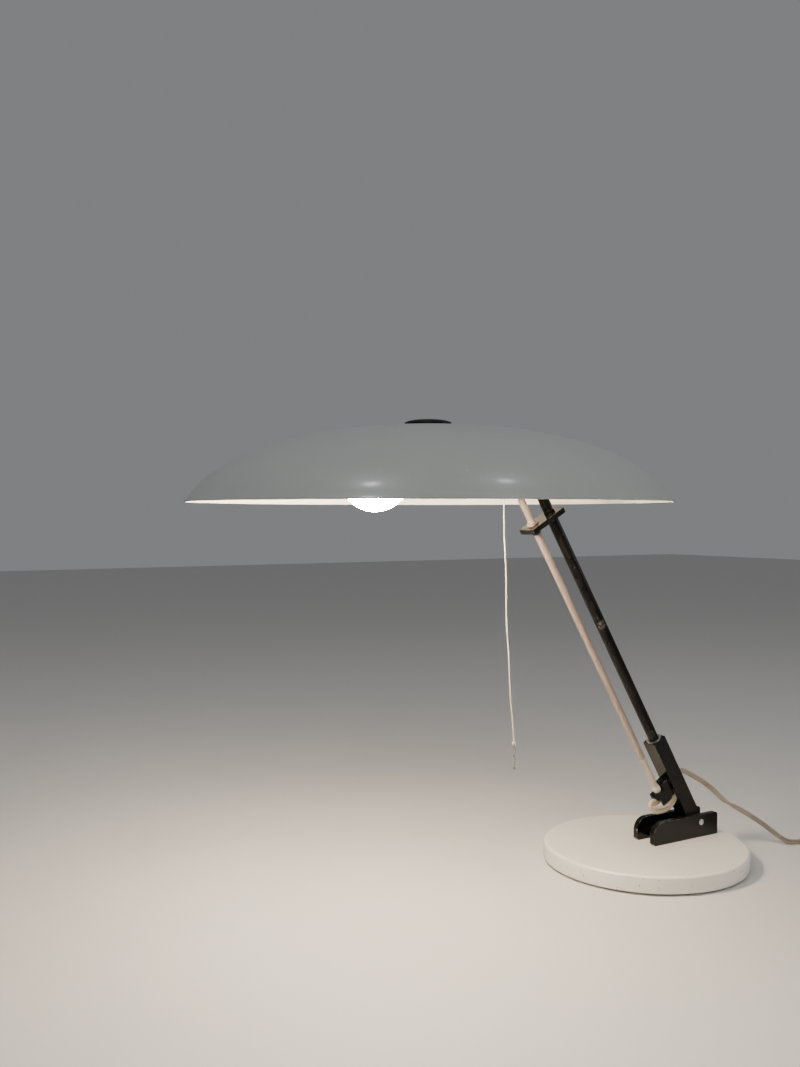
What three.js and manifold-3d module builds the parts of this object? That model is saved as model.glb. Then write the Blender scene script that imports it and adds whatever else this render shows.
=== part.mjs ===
// A single-arm desk lamp: a round weighted base, a bracket with a friction pivot, a leaning arm
// with a flex tube beside it, and a wide shallow shade that tilts on the arm's head.
// Millimetres, +Z up, origin at the centre of the base's underside. +X points from the shade
// back over the pivot, and the arm moves in the XZ plane.
import * as THREE from "three";
import { mergeVertices } from "three/addons/utils/BufferGeometryUtils.js";
import Module from "manifold-3d";

const wasm = await Module();
wasm.setup();

// Driving dimensions
const GAP = 0.3; // between pieces that rest on each other
const BASE_RADIUS = 100;
const PAD_HEIGHT = 2;
const BASE_TOP = 18;
const BRACKET_LENGTH = 88;
const BRACKET_FRONT = -1.6; // X of the bracket's front end
const BRACKET_HEIGHT = 22.4;
const BRACKET_HALF_WIDTH = 14.5;
const BRACKET_SLOT_HALF = 9; // half the space between the two cheeks
const BRACKET_WEB = 4;
const PIVOT = new THREE.Vector3(63, 0, 33);
const ARM_LEAN = THREE.MathUtils.degToRad(30.4); // from upright, towards the shade
const BLOCK_HALF = 8.05; // the arm's square lower block
const BLOCK_TOP = 101.3; // along the arm from the pivot, as are all arm heights below
const TUBE_RADIUS = 5.2;
const TUBE_FOOT = 68;
const KNUCKLE_FOOT = 384;
const HEAD_PIVOT = 396;
const PLATE_TOP = 364.5;
const PLATE_THICKNESS = 5;
const CONDUIT_OFFSET = 22.3; // from the arm's axis to the flex tube's axis
const CONDUIT_RADIUS = 3.2;
const CONDUIT_FOOT = 94.2;
const CONDUIT_TOP = 392;
const LUG_TOP = 53;
const LUG_FOOT = 47.5;
const PIN_HOLE = 2.6;
const SHADE_CENTRE = -255;
const SHADE_RADIUS = 208.4;
const SHADE_RIM = 356.2;
const SHADE_HEIGHT = 66;
const SHADE_SHEET = 1.3;
const CAP_RADIUS = 20.5;
const STRIP_FOOT = 398.2; // underside of the strip that carries the shade
const STRIP_THICKNESS = 3;
const STRIP_HALF_WIDTH = 11.6;
const BULB_AXIS = 377.7;
const HOLDER_REAR = -206;
const BULB_RADIUS = 30;
const SWITCH_X = -174;
const SWITCH_FOOT = 372;
const FLEX_WIDTH = 5.2; // the flat twin flex, on its broad side
const COIL_MEAN_RADIUS = 30.5;
const COIL_OUTER = 36.5;
const COIL_INNER = 24.5;
const COIL_HEIGHT = 10.8;
const COIL_CENTRE = new THREE.Vector3(190.5, -83.5, 0);

// Finishes
const finish = (color, roughness, metalness) =>
  new THREE.MeshStandardMaterial({ color, roughness, metalness });
const whiteLacquer = finish(0xe9e2d2, 0.4, 0);
const greyLacquer = finish(0xb9bbb6, 0.38, 0);
const blackLacquer = finish(0x111110, 0.25, 0.2);
const blackPlastic = finish(0x17130f, 0.3, 0);
const steel = finish(0xb4b2ad, 0.3, 1);
const brass = finish(0xb08d4a, 0.35, 1);
const fibre = finish(0x5a2a1c, 0.8, 0);
const creamPlastic = finish(0xd9cbb8, 0.5, 0);
const flexCover = finish(0xcabfa9, 0.55, 0);
const cordWhite = finish(0xe6e2d8, 0.8, 0);
const rubber = finish(0x1a1a1a, 0.85, 0);
const porcelain = finish(0xe8e4da, 0.4, 0);
const lampGlass = finish(0xfff6e6, 0.2, 0);

// Groups
const lamp = new THREE.Group();
const arm = new THREE.Group(); // local +Z runs up the arm and local +X faces its rear
arm.position.copy(PIVOT);
arm.rotation.y = -ARM_LEAN;
lamp.add(arm);

// The place in the lamp of a point that is given along the arm, in front of it and across it.
function onArm(along, front, across = 0) {
  arm.updateMatrix();
  return new THREE.Vector3(-front, across, along).applyMatrix4(arm.matrix);
}
const HEAD = onArm(HEAD_PIVOT, 0);

function add(name, geometry, material, parent = lamp) {
  const mesh = new THREE.Mesh(geometry, material);
  mesh.name = name;
  parent.add(mesh);
}

// Geometry helpers
function toSolid(geometry) {
  const plain = new THREE.BufferGeometry();
  plain.setAttribute("position", geometry.getAttribute("position"));
  if (geometry.index) plain.setIndex(geometry.index);
  const merged = mergeVertices(plain, 1e-4);
  const vertProperties = new Float32Array(merged.attributes.position.array);
  const triVerts = new Uint32Array(merged.index.array);
  return new wasm.Manifold(new wasm.Mesh({ numProp: 3, vertProperties, triVerts }));
}

function toGeometry(solid) {
  const mesh = solid.getMesh();
  const geometry = new THREE.BufferGeometry();
  geometry.setAttribute("position", new THREE.BufferAttribute(mesh.vertProperties, 3));
  geometry.setIndex(new THREE.BufferAttribute(mesh.triVerts, 1));
  return geometry;
}

function cut(geometry, ...tools) {
  let solid = toSolid(geometry);
  for (const tool of tools) solid = solid.subtract(toSolid(tool));
  return toGeometry(solid);
}

function join(geometry, ...others) {
  let solid = toSolid(geometry);
  for (const other of others) solid = solid.add(toSolid(other));
  return toGeometry(solid);
}

// A solid of revolution about +Z from [radius, height] pairs that run from the foot upwards.
function turned(profile, segments = 32) {
  const points = profile.map(([r, z]) => new THREE.Vector2(r, z));
  return new THREE.LatheGeometry(points, segments).rotateX(Math.PI / 2);
}

function rod(radius, foot, top, segments = 24) {
  return turned([[0, foot], [radius, foot], [radius, top], [0, top]], segments);
}

function ring(outer, inner, foot, top, segments = 32) {
  const profile = [[inner, foot], [outer, foot], [outer, top], [inner, top], [inner, foot]];
  return turned(profile, segments);
}

// A rod or ring that lies along X or Y instead of Z, kept in the same axis order.
const alongY = (geometry) => geometry.rotateX(-Math.PI / 2);
const alongX = (geometry) => geometry.rotateY(Math.PI / 2);

function hexNut(acrossFlats, inner, foot, top) {
  const outer = acrossFlats / Math.sqrt(3);
  return cut(rod(outer, foot, top, 6), rod(inner, foot - 1, top + 1, 20));
}

function block(x0, x1, y0, y1, z0, z1) {
  const box = new THREE.BoxGeometry(x1 - x0, y1 - y0, z1 - z0);
  return box.translate((x0 + x1) / 2, (y0 + y1) / 2, (z0 + z1) / 2);
}

// An outline in X and Z, pushed out evenly to both sides of the XZ plane.
function plateAcross(shape, y0, y1, curveSegments = 8) {
  const settings = { depth: y1 - y0, bevelEnabled: false, curveSegments };
  const plate = new THREE.ExtrudeGeometry(shape, settings);
  return plate.rotateX(Math.PI / 2).translate(0, y1, 0);
}

function flexTube(points, radius, steps, sides = 8) {
  const section = new THREE.Shape();
  for (let i = 0; i < sides; i++) {
    const angle = (i * 2 * Math.PI) / sides;
    const x = radius * Math.cos(angle);
    const y = radius * Math.sin(angle);
    if (i === 0) section.moveTo(x, y);
    else section.lineTo(x, y);
  }
  const route = points.map(([x, y, z]) => new THREE.Vector3(x, y, z));
  const extrudePath = new THREE.CatmullRomCurve3(route, false, "centripetal");
  return new THREE.ExtrudeGeometry(section, { steps, extrudePath });
}

// A small cheese-headed screw along +Z, its head above the seat.
function screw(shank, head, length, headHeight, seat) {
  return turned([
    [0, seat - length],
    [shank, seat - length],
    [shank, seat + GAP],
    [head, seat + GAP],
    [head, seat + GAP + headHeight * 0.7],
    [head * 0.8, seat + GAP + headHeight],
    [0, seat + GAP + headHeight],
  ], 16);
}

// Base
const EDGE = 2.6;
const SCREW_PLACES = [30, 78];
const SCREW_HOLE = 2.3;
const SCREW_DEPTH = 11;

add("base_pad", turned([[0, 0], [95, 0], [95, PAD_HEIGHT], [0, PAD_HEIGHT]], 64), rubber);

const discProfile = [[0, PAD_HEIGHT], [BASE_RADIUS - 1, PAD_HEIGHT], [BASE_RADIUS, PAD_HEIGHT + 1]];
for (let i = 0; i <= 3; i++) {
  const angle = (i * Math.PI) / 6;
  const inset = BASE_RADIUS - EDGE;
  discProfile.push([inset + EDGE * Math.cos(angle), BASE_TOP - EDGE + EDGE * Math.sin(angle)]);
}
discProfile.push([0, BASE_TOP]);
const tappedHoles = SCREW_PLACES.map((x) =>
  rod(SCREW_HOLE, BASE_TOP - SCREW_DEPTH, BASE_TOP + 1, 16).translate(x, 0, 0),
);
add("base_disc", cut(turned(discProfile, 72), ...tappedHoles), whiteLacquer);

// Bracket: a U of flat bar with rounded front corners, screwed down through its web, which
// stops short of the cheeks' front ends.
const bracketRear = BRACKET_FRONT + BRACKET_LENGTH;
const bracketTop = BASE_TOP + BRACKET_HEIGHT;
const webTop = BASE_TOP + BRACKET_WEB;
const FRONT_CORNER = 13;
const FOOT_CORNER = 2;
const WEB_FRONT = 20;
const REAR_CORNER = 2.5;
const cheek = new THREE.Shape();
cheek.moveTo(BRACKET_FRONT + FOOT_CORNER, BASE_TOP);
cheek.lineTo(bracketRear, BASE_TOP);
cheek.lineTo(bracketRear, bracketTop - REAR_CORNER);
cheek.absarc(bracketRear - REAR_CORNER, bracketTop - REAR_CORNER, REAR_CORNER, 0, Math.PI / 2);
cheek.lineTo(BRACKET_FRONT + FRONT_CORNER, bracketTop);
cheek.absarc(BRACKET_FRONT + FRONT_CORNER, bracketTop - FRONT_CORNER, FRONT_CORNER, Math.PI / 2, Math.PI);
cheek.lineTo(BRACKET_FRONT, BASE_TOP + FOOT_CORNER);
const channel = block(
  BRACKET_FRONT - 1, bracketRear + 1,
  -BRACKET_SLOT_HALF, BRACKET_SLOT_HALF,
  webTop, bracketTop + 1,
);
const openFront = block(
  BRACKET_FRONT - 1, WEB_FRONT,
  -BRACKET_SLOT_HALF, BRACKET_SLOT_HALF,
  BASE_TOP - 1, webTop + 1,
);
const pinHole = alongY(rod(PIN_HOLE, -30, 30)).translate(PIVOT.x, 0, PIVOT.z);
const webHoles = SCREW_PLACES.map((x) =>
  rod(SCREW_HOLE, BASE_TOP - 1, webTop + 1, 16).translate(x, 0, 0),
);
const bracketBar = plateAcross(cheek, -BRACKET_HALF_WIDTH, BRACKET_HALF_WIDTH);
add("bracket", cut(bracketBar, channel, openFront, pinHole, ...webHoles), blackLacquer);

SCREW_PLACES.forEach((x, i) => {
  const body = screw(2, 4.2, 11, 2.4, webTop).translate(x, 0, 0);
  add("bracket_screw_" + (i + 1), body, steel);
});

// Pivot: a riveted pin through both cheeks, with a fibre washer on each side of the block.
const pinEnd = BRACKET_HALF_WIDTH + GAP;
const PIN_RADIUS = 2.3;
const PIN_HEAD = 3;
const pinProfile = [
  [0, -pinEnd - 1.1],
  [PIN_HEAD * 0.75, -pinEnd - 0.9],
  [PIN_HEAD, -pinEnd - 0.3],
  [PIN_HEAD, -pinEnd],
  [PIN_RADIUS, -pinEnd],
  [PIN_RADIUS, pinEnd],
  [PIN_HEAD, pinEnd],
  [PIN_HEAD, pinEnd + 0.3],
  [PIN_HEAD * 0.75, pinEnd + 0.9],
  [0, pinEnd + 1.1],
];
add("pivot_pin", alongY(turned(pinProfile, 24)).translate(PIVOT.x, 0, PIVOT.z), steel);
for (const [name, side] of [["pivot_washer_near", -1], ["pivot_washer_far", 1]]) {
  const middle = (side * (BLOCK_HALF + BRACKET_SLOT_HALF)) / 2;
  const washer = ring(6.5, PIN_HOLE, middle - 0.38, middle + 0.38, 24);
  add(name, alongY(washer).translate(PIVOT.x, 0, PIVOT.z), fibre);
}

// Arm block: square bar, rounded at its foot to turn in the bracket, bored for the tube and
// with a window that the flex passes through.
const BLOCK_BORE = 5.5;
const WINDOW_FOOT = 32;
const WINDOW_TOP = 61;
const WINDOW_HALF = 3.8;
const WINDOW_MIDDLE = -1.5; // across the arm
const blockSide = new THREE.Shape();
blockSide.moveTo(BLOCK_HALF, 0);
blockSide.lineTo(BLOCK_HALF, BLOCK_TOP);
blockSide.lineTo(-BLOCK_HALF, BLOCK_TOP);
blockSide.lineTo(-BLOCK_HALF, 0);
blockSide.absarc(0, 0, BLOCK_HALF, Math.PI, 2 * Math.PI);
const GRUB_PLACE = 90;
const GRUB_HOLE = 2.3;
const grubHole = (x0, x1, z) => alongX(rod(GRUB_HOLE, x0, x1, 16)).translate(0, 0, z);
const blockWindow = block(
  -20, 20,
  WINDOW_MIDDLE - WINDOW_HALF, WINDOW_MIDDLE + WINDOW_HALF,
  WINDOW_FOOT, WINDOW_TOP,
);
const blockBody = cut(
  plateAcross(blockSide, -BLOCK_HALF, BLOCK_HALF, 16),
  rod(BLOCK_BORE, TUBE_FOOT - GAP, BLOCK_TOP + 1, 32),
  alongY(rod(PIN_HOLE, -30, 30)),
  blockWindow,
  grubHole(0, BLOCK_HALF + 1, GRUB_PLACE),
);
add("arm_block", blockBody, blackLacquer, arm);
add("arm_collar", ring(7.6, BLOCK_BORE, BLOCK_TOP + 0.1, BLOCK_TOP + 1.2, 32), steel, arm);
const grub = alongX(rod(2, TUBE_RADIUS + 0.2, BLOCK_HALF + 0.1, 12));
add("arm_grub_screw", grub.translate(0, 0, GRUB_PLACE), steel, arm);

const tubeTop = KNUCKLE_FOOT + 7;
add("arm_tube", ring(TUBE_RADIUS, TUBE_RADIUS - 1, TUBE_FOOT, tubeTop, 32), blackLacquer, arm);

// Guide plate near the arm's head, with the flex tube's bush below it and flange on top.
const plateFoot = PLATE_TOP - PLATE_THICKNESS;
const PLATE_FRONT = 31.7;
const PLATE_REAR = 9.7;
const PLATE_HALF_WIDTH = 10.4;
const FLEX_HOLE = 3.5;
const flexHole = (foot, top) => rod(FLEX_HOLE, foot, top, 24).translate(-CONDUIT_OFFSET, 0, 0);
const onConduit = (geometry) => geometry.translate(-CONDUIT_OFFSET, 0, 0);
const plateMiddle = plateFoot + PLATE_THICKNESS / 2;
const plateBody = cut(
  block(-PLATE_FRONT, PLATE_REAR, -PLATE_HALF_WIDTH, PLATE_HALF_WIDTH, plateFoot, PLATE_TOP),
  rod(BLOCK_BORE, plateFoot - 1, PLATE_TOP + 1, 32),
  flexHole(plateFoot - 1, PLATE_TOP + 1),
  alongX(rod(1.6, 0, PLATE_REAR + 1, 12)).translate(0, 0, plateMiddle),
);
add("guide_plate", plateBody, blackLacquer, arm);
const plateGrub = alongX(rod(1.3, TUBE_RADIUS + 0.2, PLATE_REAR + 0.2, 12));
add("plate_grub_screw", plateGrub.translate(0, 0, plateMiddle), steel, arm);

const conduit = ring(CONDUIT_RADIUS, CONDUIT_RADIUS - 0.45, CONDUIT_FOOT, CONDUIT_TOP, 24);
add("flex_conduit", onConduit(conduit), creamPlastic, arm);
const bush = turned([
  [FLEX_HOLE, plateFoot - 4.5],
  [3.9, plateFoot - 4.5],
  [4.2, plateFoot - 3.5],
  [4.2, plateFoot - GAP],
  [FLEX_HOLE, plateFoot - GAP],
  [FLEX_HOLE, plateFoot - 4.5],
], 24);
add("conduit_bush", onConduit(bush), blackPlastic, arm);
const flange = ring(5.25, FLEX_HOLE, PLATE_TOP + GAP, PLATE_TOP + 1.5, 24);
add("conduit_flange", onConduit(flange), creamPlastic, arm);
const upperFerrule = turned([
  [FLEX_HOLE, PLATE_TOP + 1.8],
  [4, PLATE_TOP + 1.8],
  [4, PLATE_TOP + 3.4],
  [FLEX_HOLE, PLATE_TOP + 4.4],
  [FLEX_HOLE, PLATE_TOP + 1.8],
], 24);
add("upper_ferrule", onConduit(upperFerrule), creamPlastic, arm);

// Lug on the block's front, which holds the flex tube's lower sleeve. Its root is deep, and an
// apron on the near side covers the flex where it leaves the sleeve.
const LUG_REACH = 29.5;
const LUG_HALF_WIDTH = 5;
const LUG_SCREW = 14; // in front of the arm's axis
const ROOT_REACH = 17.8;
const ROOT_TOP = 59.5;
const ROOT_FOOT = 40;
const APRON_REACH = 26;
const APRON_ROOT = 13;
const APRON_INNER = -3;
const APRON_FOOT = 38.5;
const SLEEVE_RADIUS = 2.85;
const lugRear = -BLOCK_HALF - GAP;
const lugBody = cut(
  join(
    block(-LUG_REACH, lugRear, -LUG_HALF_WIDTH, LUG_HALF_WIDTH, LUG_FOOT, LUG_TOP),
    block(-ROOT_REACH, lugRear, -LUG_HALF_WIDTH, LUG_HALF_WIDTH, ROOT_FOOT, ROOT_TOP),
    block(-APRON_REACH, -APRON_ROOT, -LUG_HALF_WIDTH, APRON_INNER, APRON_FOOT, LUG_TOP),
  ),
  flexHole(LUG_FOOT - 1, LUG_TOP + 1),
  rod(1.6, ROOT_TOP - 5, ROOT_TOP + 1, 12).translate(-LUG_SCREW, 0, 0),
  alongX(rod(1.6, -LUG_REACH - 1, -LUG_REACH + 2.4, 12)).translate(0, 0, LUG_FOOT + 4),
);
add("flex_lug", lugBody, blackLacquer, arm);
const clampScrew = screw(1.3, 2.6, 4, 1.6, ROOT_TOP).translate(-LUG_SCREW, 0, 0);
add("lug_clamp_screw", clampScrew, steel, arm);
const endScrew = screw(1.3, 2.4, 2, 1.5, 0).rotateY(-Math.PI / 2);
add("lug_end_screw", endScrew.translate(-LUG_REACH, 0, LUG_FOOT + 4), steel, arm);
const lowerSleeve = ring(SLEEVE_RADIUS, SLEEVE_RADIUS - 0.4, LUG_FOOT + 0.5, CONDUIT_FOOT - GAP, 24);
add("lower_sleeve", onConduit(lowerSleeve), flexCover, arm);
const lowerFerrule = turned([
  [3.1, LUG_TOP + GAP],
  [3.9, LUG_TOP + 1],
  [4.1, LUG_TOP + 3.5],
  [3.6, LUG_TOP + 6.5],
  [3.1, LUG_TOP + 7],
  [3.1, LUG_TOP + GAP],
], 24);
add("lower_ferrule", onConduit(lowerFerrule), cordWhite, arm);

// The flex leaves the lug, makes a loop in front of the block and goes through its window.
const sleeveMouth = onArm(LUG_FOOT + 0.2, CONDUIT_OFFSET);
const LOOP = [
  [sleeveMouth.x, 0, sleeveMouth.z],
  [20.9, 0.2, 60.4],
  [19.4, 0.2, 57.9],
  [16, -0.2, 56.8],
  [11.6, -0.8, 57],
  [7.6, -1.6, 56.2],
  [5.7, -2.6, 53.6],
  [7.6, -3.5, 51],
  [12, -3.9, 49.6],
  [17.8, -3.9, 49.3],
  [25, -3.7, 50.3],
  [31.4, -3.3, 53.2],
  [36.2, -2.8, 58],
  [38.8, -2.2, 64.3],
  [39.5, -1.8, 71],
  [40, -1.4, 77.5],
  [42, -1.1, 82.2],
];
add("flex_loop", flexTube(LOOP, 2.2, 34), flexCover);

// Head knuckle, which takes the tilt bolt.
const KNUCKLE_HALF = 8;
const KNUCKLE_GRUB = 3.5;
const knuckleSide = new THREE.Shape();
knuckleSide.moveTo(-KNUCKLE_HALF, KNUCKLE_FOOT);
knuckleSide.lineTo(KNUCKLE_HALF, KNUCKLE_FOOT);
knuckleSide.lineTo(KNUCKLE_HALF, HEAD_PIVOT);
knuckleSide.absarc(0, HEAD_PIVOT, KNUCKLE_HALF, 0, Math.PI);
const TILT_BOLT = 2.9;
const TILT_HOLE = 3.2;
const knuckleBody = cut(
  plateAcross(knuckleSide, -KNUCKLE_HALF, KNUCKLE_HALF, 16),
  rod(BLOCK_BORE, KNUCKLE_FOOT - 1, tubeTop + GAP, 32),
  alongY(rod(TILT_HOLE, -30, 30)).translate(0, 0, HEAD_PIVOT),
  grubHole(0, KNUCKLE_HALF + 1, KNUCKLE_FOOT + KNUCKLE_GRUB),
);
add("head_knuckle", knuckleBody, blackLacquer, arm);
const knuckleGrub = alongX(rod(2, TUBE_RADIUS + 0.2, KNUCKLE_HALF + 0.1, 12));
add("knuckle_grub_screw", knuckleGrub.translate(0, 0, KNUCKLE_FOOT + KNUCKLE_GRUB), steel, arm);

// Carrier: a strip with two ears, hung on the tilt bolt, that holds the shade and its fittings.
const stripTop = STRIP_FOOT + STRIP_THICKNESS;
const EAR_INNER = 8.6;
const EAR_RADIUS = 9;
const STUD_RADIUS = 4.8;
const STUD_HOLE = 5.1;
const HOLDER_SCREW_X = -193;
const SWITCH_NECK = 4;
const ear = new THREE.Shape();
ear.absarc(HEAD.x, HEAD.z, EAR_RADIUS, Math.PI, 2 * Math.PI);
ear.lineTo(HEAD.x + EAR_RADIUS, stripTop);
ear.lineTo(HEAD.x - EAR_RADIUS, stripTop);
const carrierBody = cut(
  join(
    block(
      SHADE_CENTRE - 13, HEAD.x + EAR_RADIUS,
      -STRIP_HALF_WIDTH, STRIP_HALF_WIDTH,
      STRIP_FOOT, stripTop,
    ),
    plateAcross(ear, -STRIP_HALF_WIDTH, -EAR_INNER, 16),
    plateAcross(ear, EAR_INNER, STRIP_HALF_WIDTH, 16),
  ),
  alongY(rod(TILT_HOLE, -30, 30)).translate(HEAD.x, 0, HEAD.z),
  rod(STUD_HOLE, STRIP_FOOT - 1, stripTop + 1, 24).translate(SHADE_CENTRE, 0, 0),
  rod(SWITCH_NECK + GAP, STRIP_FOOT - 1, stripTop + 1, 24).translate(SWITCH_X, 0, 0),
  rod(1.8, STRIP_FOOT - 1, stripTop + 1, 12).translate(HOLDER_SCREW_X, 0, 0),
);
add("carrier", carrierBody, steel);

// Tilt bolt with its knob on the near side.
const boltProfile = [
  [0, -21],
  [TILT_BOLT, -21],
  [TILT_BOLT, STRIP_HALF_WIDTH + GAP],
  [5, STRIP_HALF_WIDTH + GAP],
  [5, STRIP_HALF_WIDTH + 3],
  [4, STRIP_HALF_WIDTH + 4],
  [0, STRIP_HALF_WIDTH + 4],
];
const onHead = (geometry) => alongY(geometry).translate(HEAD.x, 0, HEAD.z);
add("tilt_bolt", onHead(turned(boltProfile, 24)), steel);
add("tilt_washer", onHead(ring(6.5, TILT_HOLE, -13.1, -STRIP_HALF_WIDTH - GAP, 24)), steel);
const knobRim = new THREE.Shape();
const KNOB_LOBES = 6;
const KNOB_STEPS = 48;
for (let i = 0; i < KNOB_STEPS; i++) {
  const angle = (i * 2 * Math.PI) / KNOB_STEPS;
  const radius = 9.3 + 0.9 * Math.cos(KNOB_LOBES * angle);
  const x = radius * Math.cos(angle);
  const y = radius * Math.sin(angle);
  if (i === 0) knobRim.moveTo(x, y);
  else knobRim.lineTo(x, y);
}
const knobDisc = new THREE.ExtrudeGeometry(knobRim, { depth: 9, bevelEnabled: false });
const knobBody = cut(knobDisc.translate(0, 0, -22.4), rod(TILT_HOLE, -21.4, 0, 20));
add("tilt_knob", onHead(knobBody), blackPlastic);

// Shade: spun aluminium. Its outside is one curve from the crown to the rim, and the inside
// follows it at the sheet's thickness.
const crown = new THREE.CubicBezierCurve(
  new THREE.Vector2(0, SHADE_HEIGHT),
  new THREE.Vector2(89.5, SHADE_HEIGHT),
  new THREE.Vector2(SHADE_RADIUS - 31.4, 50),
  new THREE.Vector2(SHADE_RADIUS, 0),
);
const SHADE_STEPS = 11;
const outside = [];
const inside = [];
for (let i = 0; i <= SHADE_STEPS; i++) {
  const t = i / SHADE_STEPS;
  const p = crown.getPoint(t);
  const along = crown.getTangent(t);
  outside.push([p.x, SHADE_RIM + p.y]);
  const innerRadius = Math.max(p.x + along.y * SHADE_SHEET, 0);
  const innerHeight = Math.max(p.y - along.x * SHADE_SHEET, 0);
  inside.push([innerRadius, SHADE_RIM + innerHeight]);
}
const shadeShell = turned([...inside, ...outside.reverse()], 72).translate(SHADE_CENTRE, 0, 0);
const crownInside = SHADE_RIM + SHADE_HEIGHT - SHADE_SHEET;
const crownTop = SHADE_RIM + SHADE_HEIGHT;
const studHole = rod(STUD_HOLE, crownInside - 5, crownTop + 5, 24).translate(SHADE_CENTRE, 0, 0);
add("shade", cut(shadeShell, studHole), greyLacquer);

// Centre stud with its spacer, nut and cap, which clamp the shade to the strip.
const onCrown = (geometry) => geometry.translate(SHADE_CENTRE, 0, 0);
const NUT_HEIGHT = 4.4;
const WASHER_THICKNESS = 1.2;
const washerTop = crownInside - 0.5;
const washerFoot = washerTop - WASHER_THICKNESS;
const nutTop = stripTop + GAP + NUT_HEIGHT;
add("centre_stud", onCrown(rod(STUD_RADIUS, STRIP_FOOT, crownTop + 2.2, 24)), steel);
add("stud_nut", onCrown(hexNut(15, STUD_HOLE, stripTop + GAP, nutTop)), steel);
add("stud_spacer", onCrown(ring(7.5, STUD_HOLE, nutTop + GAP, washerFoot - GAP, 24)), steel);
add("crown_washer", onCrown(ring(15, STUD_HOLE, washerFoot, washerTop, 32)), steel);
const capFoot = crownTop + GAP;
const capBody = turned([
  [0, capFoot],
  [CAP_RADIUS - 1, capFoot],
  [CAP_RADIUS, capFoot + 1],
  [CAP_RADIUS, capFoot + 2.2],
  [CAP_RADIUS - 1.5, capFoot + 3.3],
  [CAP_RADIUS - 6, capFoot + 4.6],
  [CAP_RADIUS - 12, capFoot + 5.2],
  [0, capFoot + 5.5],
], 40);
const capHole = rod(STUD_HOLE, capFoot - 1, capFoot + 2.3, 20);
add("top_cap", onCrown(cut(capBody, capHole)), blackPlastic);

// Lampholder: an angle bracket under the strip, a threaded nipple and the holder's own pieces.
const bracketFace = HOLDER_REAR + 3.3;
const HOLDER_PLATE = 2.3;
const footTop = STRIP_FOOT - GAP;
const angleBody = cut(
  join(
    block(bracketFace, HOLDER_SCREW_X + 6, -9, 9, footTop - HOLDER_PLATE, footTop),
    block(bracketFace, bracketFace + HOLDER_PLATE, -9, 9, BULB_AXIS - 10, footTop),
  ),
  alongX(rod(STUD_HOLE, -300, 0, 24)).translate(0, 0, BULB_AXIS),
  rod(1.8, footTop - 8, footTop + 1, 12).translate(HOLDER_SCREW_X, 0, 0),
);
add("holder_bracket", angleBody, steel);
const footScrew = screw(1.4, 3, 7, 1.8, stripTop).translate(HOLDER_SCREW_X, 0, 0);
add("holder_bracket_screw", footScrew, steel);

// Turned pieces of the holder and bulb run forward from the holder's rear, which is 0.
const onBulb = (geometry) =>
  geometry.rotateY(-Math.PI / 2).translate(HOLDER_REAR, 0, BULB_AXIS);
const nippleNutFace = -3.3 - HOLDER_PLATE - GAP;
add("holder_nipple", onBulb(ring(STUD_RADIUS, 3.4, -11, 6.5, 24)), steel);
const nippleNut = hexNut(14, STUD_HOLE, nippleNutFace - 3, nippleNutFace);
add("nipple_nut", onBulb(nippleNut), steel);
const holderShell = turned([
  [STUD_HOLE, -3],
  [11, -3],
  [15, 1],
  [16.4, 7],
  [17, 10],
  [17, 34],
  [17.4, 36],
  [17.4, 55],
  [16.2, 56],
  [14.6, 54],
  [14.6, 7.5],
  [STUD_HOLE, 7.5],
  [STUD_HOLE, -3],
], 36);
add("holder_shell", onBulb(holderShell), blackPlastic);
add("holder_insulator", onBulb(ring(14.2, 1.8, 8, 15, 32)), porcelain);
const contact = turned([[0, 15.3], [5, 15.3], [5, 16.4], [2.2, 17.5], [2.2, 23.6], [0, 23.6]], 20);
add("centre_contact", onBulb(contact), brass);
add("screw_shell", onBulb(ring(14.1, 13.4, 15.3, 50, 32)), brass);

const CAP_OUTER = 13;
const bulbCap = turned([
  [0, 25.9],
  [5, 25.9],
  [7.5, 27.4],
  [CAP_OUTER, 30],
  [CAP_OUTER, 49.5],
  [CAP_OUTER - 0.5, 49.5],
  [CAP_OUTER - 0.5, 30.6],
  [0, 28.4],
], 32);
add("bulb_cap", onBulb(bulbCap), steel);
add("bulb_tip", onBulb(turned([[0, 23.9], [3, 23.9], [4.6, 25.6], [0, 25.6]], 20)), brass);

// Bulb glass: a neck that swells into a globe, blown thin and open where the cap closes it.
const GLOBE_MIDDLE = 102;
const GLASS_WALL = 0.9;
const neckEnd = THREE.MathUtils.degToRad(130);
const neck = new THREE.CubicBezierCurve(
  new THREE.Vector2(12.1, 50),
  new THREE.Vector2(12.6, 60),
  new THREE.Vector2(16.4, 74.5),
  new THREE.Vector2(BULB_RADIUS * Math.sin(neckEnd), GLOBE_MIDDLE + BULB_RADIUS * Math.cos(neckEnd)),
);
const glassOutside = [[12.1, 33]];
const glassInside = [[12.1 - GLASS_WALL, 33]];
const NECK_STEPS = 6;
for (let i = 0; i <= NECK_STEPS; i++) {
  const p = neck.getPoint(i / NECK_STEPS);
  glassOutside.push([p.x, p.y]);
  glassInside.push([p.x - GLASS_WALL, p.y]);
}
const GLOBE_STEPS = 10;
for (let i = 1; i <= GLOBE_STEPS; i++) {
  const angle = neckEnd * (1 - i / GLOBE_STEPS);
  const inner = BULB_RADIUS - GLASS_WALL;
  const last = i === GLOBE_STEPS;
  glassOutside.push([last ? 0 : BULB_RADIUS * Math.sin(angle), GLOBE_MIDDLE + BULB_RADIUS * Math.cos(angle)]);
  glassInside.push([last ? 0 : inner * Math.sin(angle), GLOBE_MIDDLE + inner * Math.cos(angle)]);
}
const glassProfile = [...glassInside.reverse(), ...glassOutside];
add("bulb_glass", onBulb(turned(glassProfile, 36)), lampGlass);

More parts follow.
